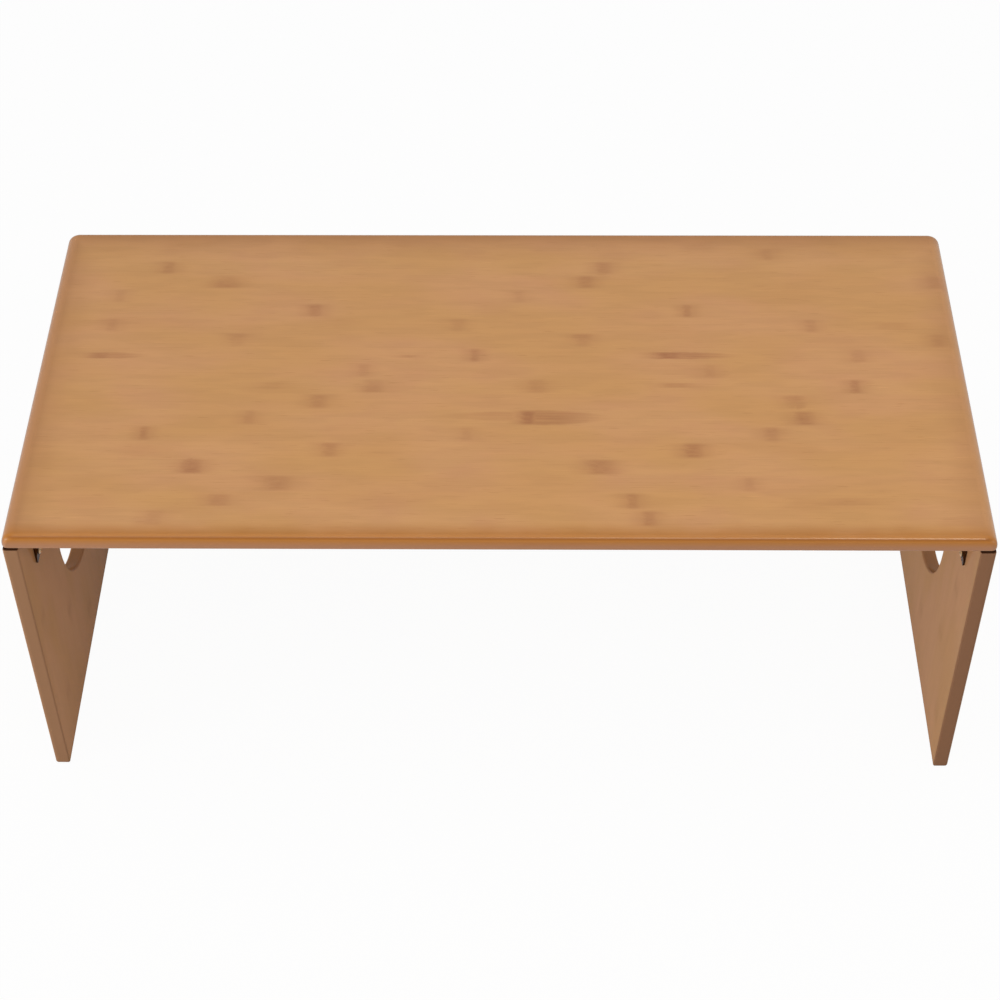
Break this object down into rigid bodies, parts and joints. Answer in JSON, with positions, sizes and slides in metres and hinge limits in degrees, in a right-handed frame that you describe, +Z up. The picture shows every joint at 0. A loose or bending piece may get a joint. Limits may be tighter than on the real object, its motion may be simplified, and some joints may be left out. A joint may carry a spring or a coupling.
{
  "type": "folding low table",
  "caption": "Rectangular laminated bamboo low table with full-depth panel legs, round hand holes and riveted folding brackets.",
  "frame": {"origin": "on the floor, under the middle of the tabletop", "axes": "+X along the table, +Y from the front edge to the rear edge, +Z up"},
  "size_m": [0.8, 0.38, 0.3],
  "materials": {
    "top_bamboo": "satin lacquer",
    "leg_bamboo": "satin lacquer",
    "bracket_steel": "dark bronze lacquer",
    "rivet_steel": "zinc plated",
    "screw_steel": "zinc plated",
    "washer_nylon": "plain"
  },
  "bodies": {
    "top": {"tabletop": "top_bamboo", "left_front_top_arm": "bracket_steel", "left_front_pivot_rivet": "rivet_steel", "left_front_friction_washers": "washer_nylon", "left_front_top_arm_screws": "screw_steel", "left_rear_top_arm": "bracket_steel", "left_rear_pivot_rivet": "rivet_steel", "left_rear_friction_washers": "washer_nylon", "left_rear_top_arm_screws": "screw_steel", "right_front_top_arm": "bracket_steel", "right_front_pivot_rivet": "rivet_steel", "right_front_friction_washers": "washer_nylon", "right_front_top_arm_screws": "screw_steel", "right_rear_top_arm": "bracket_steel", "right_rear_pivot_rivet": "rivet_steel", "right_rear_friction_washers": "washer_nylon", "right_rear_top_arm_screws": "screw_steel"},
    "left_leg": {"left_leg_panel": "leg_bamboo", "left_front_leg_arm": "bracket_steel", "left_front_leg_arm_screws": "screw_steel", "left_rear_leg_arm": "bracket_steel", "left_rear_leg_arm_screws": "screw_steel"},
    "right_leg": {"right_leg_panel": "leg_bamboo", "right_front_leg_arm": "bracket_steel", "right_front_leg_arm_screws": "screw_steel", "right_rear_leg_arm": "bracket_steel", "right_rear_leg_arm_screws": "screw_steel"}
  },
  "joints": [
    {"name": "left_leg_fold", "type": "hinge", "parent": "top", "child": "left_leg", "pos_m": [-0.378, 0, 0.276], "axis": [0, -1, 0], "range_deg": [0, 90]},
    {"name": "right_leg_fold", "type": "hinge", "parent": "top", "child": "right_leg", "pos_m": [0.378, 0, 0.276], "axis": [0, 1, 0], "range_deg": [0, 90]}
  ]
}
